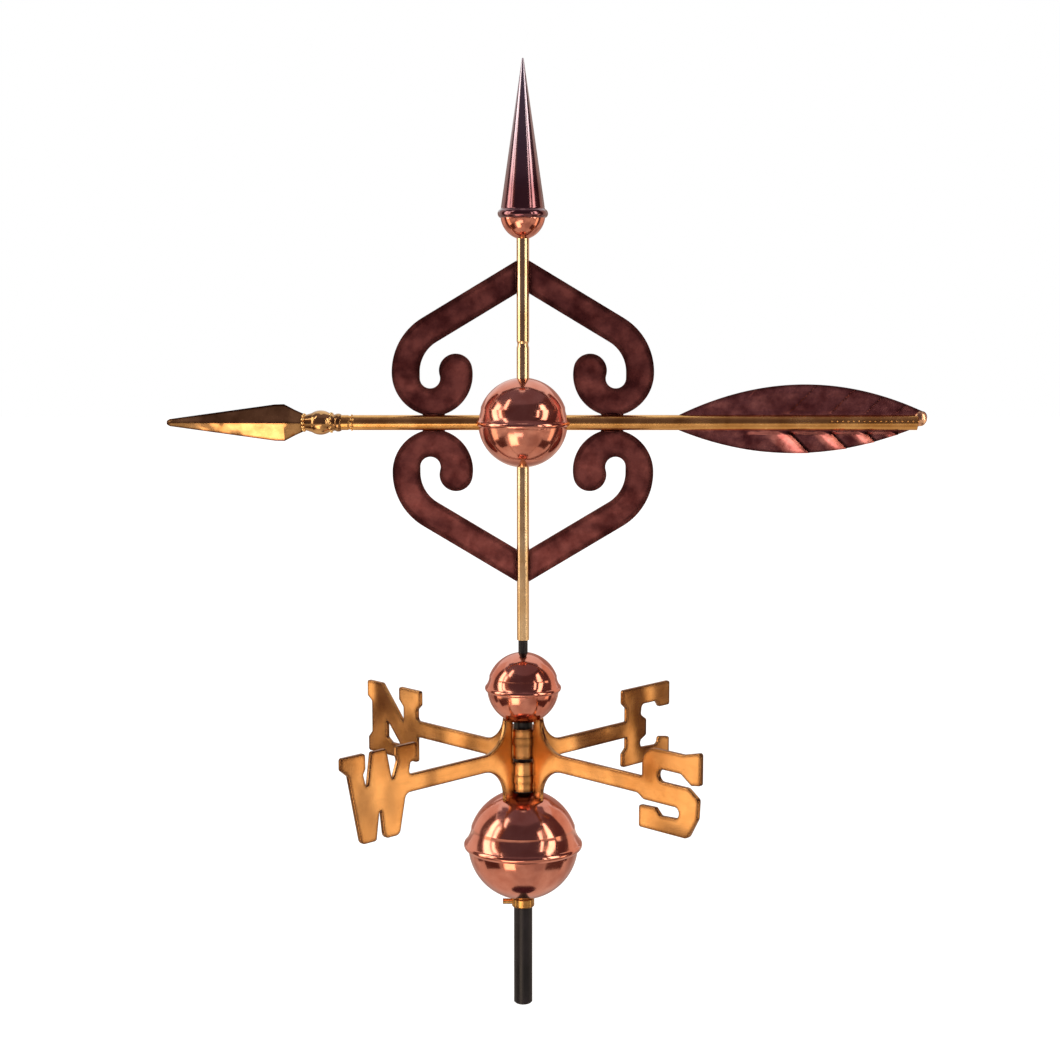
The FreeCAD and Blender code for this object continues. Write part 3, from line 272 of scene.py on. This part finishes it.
def makeLamp(name, azimuth, height, distance, size, power):
    data = bpy.data.lights.new(name, "AREA")
    data.shape = "RECTANGLE"
    data.size, data.size_y = size[0] * mm, size[1] * mm
    data.energy = power
    lamp = bpy.data.objects.new(name, data)
    bpy.context.scene.collection.objects.link(lamp)
    turn = math.radians(azimuth)
    lamp.location = Vector((math.sin(turn) * distance, -math.cos(turn) * distance, height)) * mm
    lamp.rotation_euler = (lampAim - lamp.location).to_track_quat("-Z", "Y").to_euler()
    lamp.visible_camera = False
    lamp.visible_glossy = False


makeWorld(stageSetup)
makeFloor(stageSetup)
makeDarkDisc(stageSetup)
for cardName, cardPlace in roomCards.items():
    makeCard(cardName, cardPlace, stageSetup)
for lampName, lampPlace in roomLamps.items():
    makeLamp(lampName, *lampPlace)
print("stage: lamps and surroundings made")


# finishes
def startFinish(name):
    # a Principled material with Object coordinates at hand
    material = bpy.data.materials.new(name)
    material.use_nodes = True
    tree = material.node_tree
    place = addNode(tree, "ShaderNodeTexCoord").outputs["Object"]
    return material, tree, tree.nodes["Principled BSDF"], place


def edgeShade(tree, radius):
    # mask for painted shade at edges: 0 on flat ground and up to 1 where the surface turns within the radius
    soft = addNode(tree, "ShaderNodeBevel", {"Radius": radius * mm}, samples=4)
    plain = addNode(tree, "ShaderNodeNewGeometry")
    same = addNode(tree, "ShaderNodeVectorMath", {0: soft.outputs[0], 1: plain.outputs["True Normal"]},
                   operation="DOT_PRODUCT")
    return addNode(tree, "ShaderNodeMapRange", {"Value": same.outputs["Value"], "From Min": 0.997,
                                                "From Max": 0.93}).outputs[0]


# enamel sprayed on steel bar: satin black, where a fine orange peel breaks up one soft sheen
enamelLook = {"base": "#0B090A", "worn": "#1C1518", "cloud": 22, "peel": 1.6, "peelDepth": 0.05,
              "smooth": 0.27, "dull": 0.46, "shine": 0.32}


def enamelledSteel(look):
    material, tree, shader, place = startFinish("enamelledSteel")
    peel = addNode(tree, "ShaderNodeTexNoise", {"Scale": 1 / (look["peel"] * mm), "Detail": 2.0,
                                                "Vector": place})
    cloud = addNode(tree, "ShaderNodeTexNoise", {"Scale": 1 / (look["cloud"] * mm), "Detail": 4.0,
                                                 "Vector": place})
    tint = addNode(tree, "ShaderNodeValToRGB", {"Fac": cloud.outputs[0]},
                   stops=[(0.35, look["base"]), (0.8, look["worn"])])
    sheen = addNode(tree, "ShaderNodeMapRange", {"Value": cloud.outputs[0], "To Min": look["smooth"],
                                                 "To Max": look["dull"]})
    bump = addNode(tree, "ShaderNodeBump", {"Height": peel.outputs[0], "Strength": 0.25,
                                            "Distance": look["peelDepth"] * mm})
    shader.inputs["Specular IOR Level"].default_value = look["shine"]
    tree.links.new(tint.outputs[0], shader.inputs["Base Color"])
    tree.links.new(sheen.outputs[0], shader.inputs["Roughness"])
    tree.links.new(bump.outputs[0], shader.inputs["Normal"])
    return material


# base and deep are a metal's light and dark tints; cloud, line, wave and rim are sizes in mm, dent is
# how deep the wave goes, and run stretches the line pattern along x, y and z. Real tool lines are about
# 0.1 mm apart, too fine to show, so line is drawn some eight times as coarse.
# spun and buffed copper: a mirror that bends the windows into streaks and clouds over in salmon
spunLook = {"base": "#E09680", "deep": "#CC7C66", "cloud": 26, "line": 0.9, "run": (0.03, 0.03, 1),
            "wave": 22, "dent": 0.9, "smooth": 0.08, "dull": 0.19}
# spun copper under a tinted lacquer: wine red and almost black in front, paler and greyer at the tip, with
# painted shade in near-black towards its outline, where it turns from the camera
spireLook = {"base": "#8E5C60", "deep": "#6C3A42", "cloud": 30, "line": 0.9, "run": (0.03, 0.03, 1),
             "wave": 40, "dent": 0.3, "smooth": 0.10, "dull": 0.18, "coat": 0.6,
             "fade": (695, 785, "#B8AEBC"), "grazingShade": "#1E060C"}
# turned brass: fine rings round the axis, and painted shade in a darker brown at the corners
turnedLook = {"base": "#E0B068", "deep": "#B58446", "cloud": 12, "line": 0.7, "run": (0.03, 0.03, 1),
              "wave": 14, "dent": 0.05, "smooth": 0.18, "dull": 0.3, "edge": "#5C3520", "rim": 1.6}
# ground steel ball and blackened screws: the same turned rings in grey, with no painted shade at the corners
groundLook = dict(turnedLook, base="#C4C4C8", deep="#9A9AA0", edge=None)
blackenedLook = dict(turnedLook, base="#5A5654", deep="#343130", edge=None)
# drawn brass tube, lying: lines run lengthwise and soften a golden stripe under a brown one
levelTubeLook = {"base": "#F2BC74", "deep": "#CC9450", "cloud": 30, "line": 0.8, "run": (0.02, 1, 1),
                 "wave": 60, "dent": 0.1, "smooth": 0.18, "dull": 0.32}
# drawn brass tube, upright and polished: cream either side of a dark streak, with painted shade in brown towards
# its outline, where it turns from the camera
uprightTubeLook = {"base": "#F8DAAC", "deep": "#E8C088", "cloud": 34, "line": 0.8, "run": (1, 1, 0.02),
                   "wave": 60, "dent": 0.1, "smooth": 0.13, "dull": 0.24, "grazingShade": "#7A5440"}
# brass cast in sand and fettled with a belt: flat facets, golden below and dark above, with painted shade in
# dark brown at the edges
headLook = {"base": "#DCAC74", "deep": "#A27848", "cloud": 22, "line": 0.7, "run": (0.05, 1, 1),
            "wave": 16, "dent": 0.8, "smooth": 0.10, "dull": 0.20, "edge": "#4A2014", "rim": 3.0}
# the same brass on small beads, painted paler than the head as painted highlight and with no edge shade; each
# carries one bright spark
beadLook = dict(headLook, base="#FFDFA0", deep="#F0BC70", edge=None, smooth=0.08, dull=0.16)
# solder wiped smooth over brass: a pale salmon gold
tipLook = dict(levelTubeLook, base="#F6C8A0", deep="#E0A078")
# copper plate, hammered flat: cloudy wine red, with painted shade in near-black along the edges
scrollLook = {"base": "#AC6660", "deep": "#783E3C", "cloud": 20, "line": 0.8, "run": (1, 1, 0.06),
              "wave": 26, "dent": 1.6, "smooth": 0.26, "dull": 0.40, "edge": "#0C0304", "rim": 8.0}
# pressed copper sheet: dark where it lies flat and pink where a pleat turns to the floor, with painted shade in
# near-black at the edges
featherLook = {"base": "#DC9088", "deep": "#A05854", "cloud": 15, "line": 0.8, "run": (0.4, 1, 1),
               "wave": 20, "dent": 0.8, "smooth": 0.16, "dull": 0.26, "edge": "#240808", "rim": 4.0}
# brass casting smoothed on a belt: soft swells of gold and brown, placed at random, are painted highlight
# standing for its soft highlights, and the dark brown along the edges is painted shade
castLook = {"base": "#E4AA6C", "deep": "#BA8048", "cloud": 60, "line": 0.9, "run": (0.05, 0.05, 1),
            "wave": 62, "dent": 6.0, "smooth": 0.17, "dull": 0.27, "edge": "#3A130A", "rim": 5.0}
lineDepth = 0.006  # mm, for every tool line
coatRoughness = 0.03


def mixTint(tree, colour, other, share):
    # from the colour towards the other by the share
    return addNode(tree, "ShaderNodeMix", {"A": colour, "B": linear(other), "Factor": share},
                   data_type="RGBA").outputs["Result"]


def workedMetal(name, look):
    # clouds of tint from handling, lines left by the tool and slow waves in the surface
    material, tree, shader, place = startFinish(name)
    cloud = addNode(tree, "ShaderNodeTexNoise", {"Scale": 1 / (look["cloud"] * mm), "Detail": 5.0,
                                                 "Roughness": 0.6, "Vector": place})
    stretched = addNode(tree, "ShaderNodeMapping", {"Scale": look["run"], "Vector": place})
    line = addNode(tree, "ShaderNodeTexNoise", {"Scale": 1 / (look["line"] * mm), "Detail": 3.0,
                                                "Vector": stretched.outputs[0]})
    wave = addNode(tree, "ShaderNodeTexNoise", {"Scale": 1 / (look["wave"] * mm), "Detail": 1.0,
                                                "Vector": place})
    colour = addNode(tree, "ShaderNodeValToRGB", {"Fac": cloud.outputs[0]},
                     stops=[(0.36, look["deep"]), (0.62, look["base"])]).outputs[0]
    if "fade" in look:
        low, high, paler = look["fade"]
        height = addNode(tree, "ShaderNodeSeparateXYZ", {0: place})
        share = addNode(tree, "ShaderNodeMapRange", {"Value": height.outputs[2], "From Min": low * mm,
                                                     "From Max": high * mm})
        colour = mixTint(tree, colour, paler, share.outputs[0])
    # painted shade: towards the outline, where the surface turns from the camera, the colour goes to the grazing
    # tint
    if "grazingShade" in look:
        facing = addNode(tree, "ShaderNodeLayerWeight", {"Blend": 0.22})
        colour = mixTint(tree, colour, look["grazingShade"], facing.outputs["Facing"])
    # painted shade: at edges, where the surface turns within the rim, the colour goes to the edge tint
    if look.get("edge"):
        colour = mixTint(tree, colour, look["edge"], edgeShade(tree, look["rim"]))
    mixed = addNode(tree, "ShaderNodeMath", {0: line.outputs[0], 1: 0.5, 2: cloud.outputs[0]},
                    operation="MULTIPLY_ADD")
    sheen = addNode(tree, "ShaderNodeMapRange", {
        "Value": mixed.outputs[0], "From Min": 0.45, "From Max": 1.05,
        "To Min": look["smooth"], "To Max": look["dull"]})
    slow = addNode(tree, "ShaderNodeBump", {"Height": wave.outputs[0], "Strength": 1.0,
                                            "Distance": look["dent"] * mm})
    fine = addNode(tree, "ShaderNodeBump", {"Height": line.outputs[0], "Normal": slow.outputs[0],
                                            "Strength": 0.35, "Distance": lineDepth * mm})
    shader.inputs["Metallic"].default_value = 1.0
    shader.inputs["Coat Weight"].default_value = look.get("coat", 0.0)
    shader.inputs["Coat Roughness"].default_value = coatRoughness
    tree.links.new(colour, shader.inputs["Base Color"])
    tree.links.new(sheen.outputs[0], shader.inputs["Roughness"])
    tree.links.new(fine.outputs[0], shader.inputs["Normal"])
    return material


finishes = {
    "black_steel": enamelledSteel(enamelLook),
    "ball_steel": workedMetal("groundSteel", groundLook),
    "screw_steel": workedMetal("blackenedSteel", blackenedLook),
    "turned_brass": workedMetal("turnedBrass", turnedLook),
    "polished_copper": workedMetal("spunCopper", spunLook),
    "cast_brass": workedMetal("linishedBrass", castLook),
    "tube_brass": workedMetal("drawnBrass", uprightTubeLook),
    "head_brass": workedMetal("fettledBrass", headLook),
    "feather_copper": workedMetal("pressedCopper", featherLook),
    "scroll_copper": workedMetal("plateCopper", scrollLook),
    "spire_copper": workedMetal("lacqueredCopper", spireLook),
}
ownFinish = {
    "arrow_tube": workedMetal("drawnBrassLevel", levelTubeLook),
    "spire_cup": finishes["polished_copper"],
    "collar_set_screw": finishes["turned_brass"],
}
slotOfNode = {part["node"]: part["material_slot"] for part in frame["record"]["subparts"]}
for node, thing in frame["nodes"].items():
    thing.data.materials.clear()
    thing.data.materials.append(ownFinish.get(node, finishes[slotOfNode[node]]))
print("stage: finishes on the carried-over pieces")


# pieces grown with Geometry Nodes: sizes are in mm, and the last step scales them to metres
class Field:
    # a number in a node tree that adds, multiplies and compares like one in Python
    def __init__(self, tree, socket):
        self.tree, self.socket = tree, socket

    def combine(self, operation, other=0.0, swapped=False):
        first, second = (other, self) if swapped else (self, other)
        node = addNode(self.tree, "ShaderNodeMath", {0: first, 1: second}, operation=operation)
        return Field(self.tree, node.outputs[0])

    def __add__(self, other):
        return self.combine("ADD", other)

    def __sub__(self, other):
        return self.combine("SUBTRACT", other)

    def __rsub__(self, other):
        return self.combine("SUBTRACT", other, swapped=True)

    def __mul__(self, other):
        return self.combine("MULTIPLY", other)

    def __truediv__(self, other):
        return self.combine("DIVIDE", other)

    def __pow__(self, other):
        return self.combine("POWER", other)

    __rmul__ = __mul__

    def held(self):
        # kept between 0 and 1
        return self.combine("MAXIMUM", 0.0).combine("MINIMUM", 1.0)


def startTree(name, sizes):
    # a tree with one named number input for each size
    tree = bpy.data.node_groups.new(name, "GeometryNodeTree")
    kinds = {int: "NodeSocketInt", float: "NodeSocketFloat"}
    for key, value in sizes.items():
        tree.interface.new_socket(key, in_out="INPUT", socket_type=kinds[type(value)])
    tree.interface.new_socket("Geometry", in_out="OUTPUT", socket_type="NodeSocketGeometry")
    entry = addNode(tree, "NodeGroupInput")
    return tree, {key: Field(tree, entry.outputs[key]) for key in sizes}


def growPiece(name, tree, shape, sizes, material, body):
    # evaluates the tree once and keeps the result as a plain mesh on its body
    scaled = addNode(tree, "GeometryNodeTransform", {"Geometry": shape, "Scale": (mm, mm, mm)})
    real = addNode(tree, "GeometryNodeRealizeInstances", {"Geometry": scaled.outputs[0]})
    dressed = addNode(tree, "GeometryNodeSetMaterial", {"Geometry": real.outputs[0], "Material": material})
    addNode(tree, "NodeGroupOutput", {"Geometry": dressed.outputs[0]})
    piece = bpy.data.objects.new(name, bpy.data.meshes.new(name))
    bpy.context.scene.collection.objects.link(piece)
    modifier = piece.modifiers.new("grow", "NODES")
    modifier.node_group = tree
    for item in tree.interface.items_tree:
        if item.in_out == "INPUT":
            modifier[item.identifier] = sizes[item.name]
    grown = piece.evaluated_get(bpy.context.evaluated_depsgraph_get())
    plain = bpy.data.meshes.new_from_object(grown)
    piece.modifiers.clear()
    piece.data = plain
    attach(piece, body)
    return piece


def roundBall(tree, size, radius):
    # a smooth ball with the piece's own number of sides and rings
    ball = addNode(tree, "GeometryNodeMeshUVSphere", {"Segments": size["sides"], "Rings": size["rings"],
                                                     "Radius": radius})
    return addNode(tree, "GeometryNodeSetShadeSmooth", {"Geometry": ball.outputs[0]}).outputs[0]


featherSizes = {
    "columns": 300, "rows": 100,
    "crowding": 1.5,        # above 1, columns stand closer towards the tail
    "start": 130.0, "roundFrom": 333.0, "end": 337.0, "axis": 504.0,
    "topStart": 6.35, "topEnd": 9.5, "topBow": 23.9,
    "lowStart": -6.35, "lowEnd": -1.8, "lowBow": 21.6,
    "tipHeight": 3.85,
    "firstCrease": 213.6,
    "creaseRate": 0.02548,  # creases in a mm at the first one
    "creaseGrowth": 0.0000884,  # how fast they crowd towards the tail
    "lean": 1.0, "flatPart": 0.45, "depth": 3.2, "upperDepth": 0.35,
    "flatBand": 7.5, "bandFade": 2.5, "fadeFrom": 186.0, "fadeLength": 26.0,
    "thickness": 1.0, "ripple": 0.35, "rippleScale": 0.06, "rippleFade": 4.0,
}
weldDistance = 0.0005  # mm


def makeFeather(sizes):
    tree, size = startTree("feather", sizes)
    grid = addNode(tree, "GeometryNodeMeshGrid", {"Size X": 1.0, "Size Y": 1.0, "Vertices X": size["columns"],
                                                 "Vertices Y": size["rows"]})
    spot = addNode(tree, "ShaderNodeSeparateXYZ", {0: addNode(tree, "GeometryNodeInputPosition").outputs[0]})
    along, across = Field(tree, spot.outputs[0]) + 0.5, Field(tree, spot.outputs[1]) + 0.5

    # the outline: two bows from the tube to a round tail
    along = size["start"] + (size["end"] - size["start"]) * (1 - (1 - along).held() ** size["crowding"])
    share = ((along - size["start"]) / (size["roundFrom"] - size["start"])).held()
    bow = share * (1 - share) * 4
    top = size["topStart"] + (size["topEnd"] - size["topStart"]) * share + size["topBow"] * bow
    low = size["lowStart"] + (size["lowEnd"] - size["lowStart"]) * share - size["lowBow"] * bow
    turn = ((along - size["roundFrom"]) / (size["end"] - size["roundFrom"])).held()
    turn = (1 - turn * turn).held() ** 0.5
    top, low = [size["tipHeight"] + (edge - size["tipHeight"]) * turn for edge in (top, low)]
    height = low + (top - low) * across

    # each pleat lies flat, then curls up to its crease and drops away from it
    off = height.combine("ABSOLUTE")
    reach = along - size["lean"] * off - size["firstCrease"]
    pleat = (reach * (size["creaseRate"] + size["creaseGrowth"] * reach)).combine("FRACT")
    curl = ((pleat - size["flatPart"]) / (1 - size["flatPart"])).held()
    below = height.combine("LESS_THAN", 0.0)
    depth = size["depth"] * below + size["upperDepth"] * (1 - below)
    beyond = off - size["flatBand"]
    show = (beyond / size["bandFade"]).held() * ((along - size["fadeFrom"]) / size["fadeLength"]).held()
    flat = addNode(tree, "ShaderNodeCombineXYZ", {0: along, 2: height})
    noise = addNode(tree, "ShaderNodeTexNoise", {"Scale": size["rippleScale"], "Detail": 2.0,
                                                 "Vector": flat.outputs[0]})
    swell = (Field(tree, noise.outputs[0]) - 0.5) * size["ripple"] * (beyond / size["rippleFade"]).held()
    face = depth * show * (0.5 - curl * curl) + swell + size["thickness"] * 0.5

    # the back sheet stays, the front is drawn out of it by the thickness
    place = addNode(tree, "ShaderNodeCombineXYZ", {0: along, 1: face, 2: height + size["axis"]})
    sheet = addNode(tree, "GeometryNodeSetPosition", {"Geometry": grid.outputs[0],
                                                     "Position": place.outputs[0]})
    away = addNode(tree, "ShaderNodeCombineXYZ", {1: size["thickness"] * -1})
    front = addNode(tree, "GeometryNodeExtrudeMesh", {"Mesh": sheet.outputs[0], "Offset": away.outputs[0],
                                                     "Individual": False})
    back = addNode(tree, "GeometryNodeFlipFaces", {"Mesh": sheet.outputs[0]})
    both = addNode(tree, "GeometryNodeJoinGeometry")
    for side in (front, back):
        tree.links.new(side.outputs[0], both.inputs[0])
    whole = addNode(tree, "GeometryNodeMergeByDistance", {"Geometry": both.outputs[0],
                                                         "Distance": weldDistance})
    piece = growPiece("feather_pleats", tree, whole.outputs[0], sizes, finishes["feather_copper"], "vane")
    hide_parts("tail_feather")


pearlSizes = {
    "round": 12, "sides": 10, "rings": 7,
    "lowPlace": -182.4, "lowRadius": 6.3, "lowPearl": 1.5,
    "highPlace": -159.7, "highRadius": 7.3, "highPearl": 1.4,
    "crimpPlace": -142.6, "crimpRadius": 6.1, "crimpPearl": 0.85,
    "axis": 504.0,
}
pearlTurn = (0.12, math.pi / 2, 0)  # stands the rings up round the tube, a little turned


def makePearls(sizes):
    # beaded rings cast round the ferrule and the studs that hold it on the tube
    tree, size = startTree("pearls", sizes)
    joined = addNode(tree, "GeometryNodeJoinGeometry")
    for ring in ("low", "high", "crimp"):
        circle = addNode(tree, "GeometryNodeMeshCircle", {"Vertices": size["round"],
                                                         "Radius": size[ring + "Radius"]})
        place = addNode(tree, "ShaderNodeCombineXYZ", {0: size[ring + "Place"], 2: size["axis"]})
        turned = addNode(tree, "GeometryNodeTransform", {
            "Geometry": circle.outputs[0], "Translation": place.outputs[0], "Rotation": pearlTurn})
        pearl = roundBall(tree, size, size[ring + "Pearl"])
        row = addNode(tree, "GeometryNodeInstanceOnPoints", {"Points": turned.outputs[0], "Instance": pearl})
        tree.links.new(row.outputs[0], joined.inputs[0])
    # paler copy of the head brass: painted highlight on the beads
    finish = workedMetal("paintedPaleBrass", beadLook)
    growPiece("ferrule_pearls", tree, joined.outputs[0], sizes, finish, "vane")


punchSizes = {
    "dots": 17, "sides": 8, "rings": 6,
    "first": 257.0, "pitch": 4.5, "rise": 1.5, "seat": 6.0, "radius": 0.75,
    "axis": 504.0,
}


def makePunchRow(sizes):
    # the row of small studs along both faces of the arrow's tube
    tree, size = startTree("punchRow", sizes)
    joined = addNode(tree, "GeometryNodeJoinGeometry")
    stud = roundBall(tree, size, size["radius"])
    step = addNode(tree, "ShaderNodeCombineXYZ", {0: size["pitch"]})
    for side in (-1, 1):
        start = addNode(tree, "ShaderNodeCombineXYZ", {0: size["first"], 1: size["seat"] * side,
                                                      2: size["axis"] + size["rise"]})
        line = addNode(tree, "GeometryNodeMeshLine", {
            "Count": size["dots"], "Start Location": start.outputs[0], "Offset": step.outputs[0]}, mode="OFFSET")
        row = addNode(tree, "GeometryNodeInstanceOnPoints", {"Points": line.outputs[0], "Instance": stud})
        tree.links.new(row.outputs[0], joined.inputs[0])
    growPiece("tube_punch_row", tree, joined.outputs[0], sizes, ownFinish["arrow_tube"], "vane")


brazeSizes = {
    "axis": 504.0, "sides": 24, "rings": 12,
    "shaftPlace": 74.4, "shaftRise": 6.9, "shaftLength": 9.6, "shaftDepth": 2.7, "shaftHeight": 1.5,
    "spindlePlace": 5.5, "spindleRise": 120.5,
    "spindleLength": 13.0, "spindleDepth": 2.4, "spindleHeight": 1.2,
}


def makeBraze(sizes):
    # run-in braze where each scroll meets the arrow's tube and the spindle
    tree, size = startTree("braze", sizes)
    joined = addNode(tree, "GeometryNodeJoinGeometry")
    bead = roundBall(tree, size, 1.0)
    for side in (-1, 1):
        for level in (-1, 1):
            for seat, first, third in (("shaft", "Length", "Height"), ("spindle", "Height", "Length")):
                place = addNode(tree, "ShaderNodeCombineXYZ", {0: size[seat + "Place"] * side,
                                                              2: size["axis"] + size[seat + "Rise"] * level})
                swell = addNode(tree, "ShaderNodeCombineXYZ", {0: size[seat + first], 1: size[seat + "Depth"],
                                                              2: size[seat + third]})
                run = addNode(tree, "GeometryNodeTransform", {
                    "Geometry": bead, "Translation": place.outputs[0], "Scale": swell.outputs[0]})
                tree.links.new(run.outputs[0], joined.inputs[0])
    growPiece("scroll_braze", tree, joined.outputs[0], sizes, finishes["scroll_copper"], "vane")


tailSizes = {
    "sides": 32, "rings": 18, "along": 331.2, "high": 507.2,
    "length": 5.6, "depth": 3.6, "height": 6.3,
}


def makeTailCap(sizes):
    # the rounded solder that closes the tube's end over the feather's tip
    tree, size = startTree("tailCap", sizes)
    place = addNode(tree, "ShaderNodeCombineXYZ", {0: size["along"], 2: size["high"]})
    swell = addNode(tree, "ShaderNodeCombineXYZ", {0: size["length"], 1: size["depth"], 2: size["height"]})
    cap = addNode(tree, "GeometryNodeTransform", {"Geometry": roundBall(tree, size, 1.0),
                                                 "Translation": place.outputs[0], "Scale": swell.outputs[0]})
    finish = workedMetal("wipedSolder", tipLook)
    growPiece("tail_solder", tree, cap.outputs[0], sizes, finish, "vane")


makeFeather(featherSizes)
makePearls(pearlSizes)
makePunchRow(punchSizes)
makeBraze(brazeSizes)
makeTailCap(tailSizes)
print("stage: feather, pearls, studs, braze and tail cap grown")
